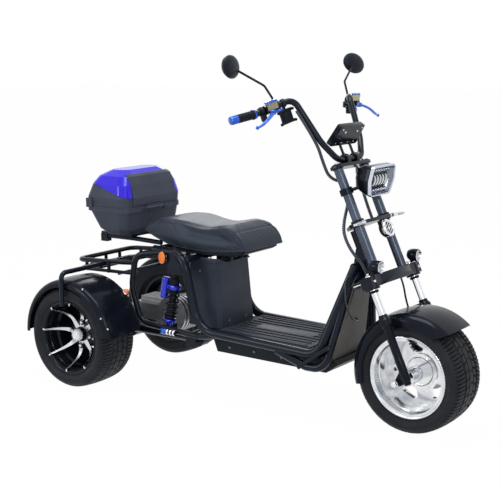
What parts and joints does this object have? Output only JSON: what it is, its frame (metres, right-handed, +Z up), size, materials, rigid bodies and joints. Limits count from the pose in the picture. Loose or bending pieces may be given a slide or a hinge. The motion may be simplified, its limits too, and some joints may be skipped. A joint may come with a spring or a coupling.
{
  "type": "electric three-wheel scooter",
  "caption": "Sit-on electric trike scooter with a wide front wheel, paired rear wheels, tall bars, long seat, floor deck, rear rack and lidded top box.",
  "frame": {"origin": "on the ground under the middle of the vehicle's length and width", "axes": "+X forward, +Y to the rider's left, +Z up"},
  "size_m": [2.011, 1.0068, 1.4709],
  "materials": {
    "tyre": "matt tread and sidewall",
    "polished_rim": "polished cast alloy",
    "dark_rim": "black barrel with machined spokes",
    "disc_steel": "ground steel",
    "drive_black": "black paint",
    "motor_grey": "cast fins",
    "shock_blue": "blue spring and tank, black damper",
    "frame_black": "gloss black powder coat",
    "deck_rubber": "ribbed mat",
    "box_grey": "satin grey brown",
    "cowl_plastic": "dark grey moulding",
    "seat_leather": "charcoal leatherette",
    "black_plastic": "black moulding",
    "case_plastic": "charcoal grained plastic",
    "lid_blue": "blue gloss",
    "fender_black": "gloss black",
    "yoke_paint": "dark blue grey gloss",
    "tube_paint": "dark blue grey metallic",
    "chrome": "bright chrome",
    "slider_black": "gloss black",
    "grip_rubber": "ribbed rubber",
    "blue_anodised": "blue anodised",
    "lamp_chrome": "bright trim",
    "clear_lens": "clear",
    "hose_rubber": "wrapped hose",
    "amber_lens": "amber"
  },
  "bodies": {
    "frame": {"battery_box": "box_grey", "box_bracket": "frame_black", "box_tub": "case_plastic", "brake_cable": "hose_rubber", "drive_motor": "motor_grey", "floor_deck": "deck_rubber", "front_cover": "box_grey", "main_frame": "frame_black", "pillion_pegs": "blue_anodised", "rear_axle": "drive_black", "rear_fender_left": "fender_black", "rear_fender_right": "fender_black", "rear_rack": "frame_black", "reflectors": "amber_lens", "seat_cowl": "cowl_plastic", "seat_hinge": "frame_black", "shock_left": "shock_blue", "shock_right": "shock_blue", "swing_arm": "frame_black"},
    "steering": {"bar_riser": "frame_black", "brake_hose": "hose_rubber", "brake_levers": "blue_anodised", "fog_lamps": "black_plastic", "fork_sliders": "slider_black", "fork_stanchions": "chrome", "fork_tubes": "tube_paint", "front_axle": "chrome", "front_calliper": "slider_black", "front_fender": "fender_black", "grips": "grip_rubber", "handlebar": "frame_black", "headlamp": "lamp_chrome", "headlamp_lens": "clear_lens", "horn": "lamp_chrome", "instrument_panel": "black_plastic", "lower_yoke": "yoke_paint", "mirrors": "black_plastic", "phone_holder": "black_plastic", "switch_pods": "black_plastic", "turn_signals": "lamp_chrome", "upper_yoke": "yoke_paint", "wire_looms": "hose_rubber"},
    "front_wheel": {"front_disc": "disc_steel", "front_rim": "polished_rim", "front_tyre": "tyre"},
    "rear_wheel_left": {"rear_rim_left": "dark_rim", "rear_tyre_left": "tyre"},
    "rear_wheel_right": {"rear_rim_right": "dark_rim", "rear_tyre_right": "tyre"},
    "seat": {"seat_base": "black_plastic", "seat_cushion": "seat_leather"},
    "box_lid": {"box_lid": "case_plastic", "lid_panel": "lid_blue"}
  },
  "joints": [
    {"name": "steering_turn", "type": "hinge", "parent": "frame", "child": "steering", "pos_m": [0.52815, 0, 0.68498], "axis": [-0.4147, 0, 0.91], "range_deg": [-38, 38]},
    {"name": "front_wheel_roll", "type": "hinge", "parent": "steering", "child": "front_wheel", "pos_m": [0.7755, 0, 0.23], "axis": [0, 1, 0], "continuous": true},
    {"name": "rear_left_roll", "type": "hinge", "parent": "frame", "child": "rear_wheel_left", "pos_m": [-0.7395, 0.34, 0.23], "axis": [0, 1, 0], "continuous": true},
    {"name": "rear_right_roll", "type": "hinge", "parent": "frame", "child": "rear_wheel_right", "pos_m": [-0.7395, -0.34, 0.23], "axis": [0, 1, 0], "continuous": true},
    {"name": "seat_tip", "type": "hinge", "parent": "frame", "child": "seat", "pos_m": [-0.112, 0, 0.606], "axis": [0, 1, 0], "range_deg": [0, 62]},
    {"name": "lid_open", "type": "hinge", "parent": "frame", "child": "box_lid", "pos_m": [-0.589, 0, 0.78], "axis": [0, 1, 0], "range_deg": [0, 80]}
  ]
}
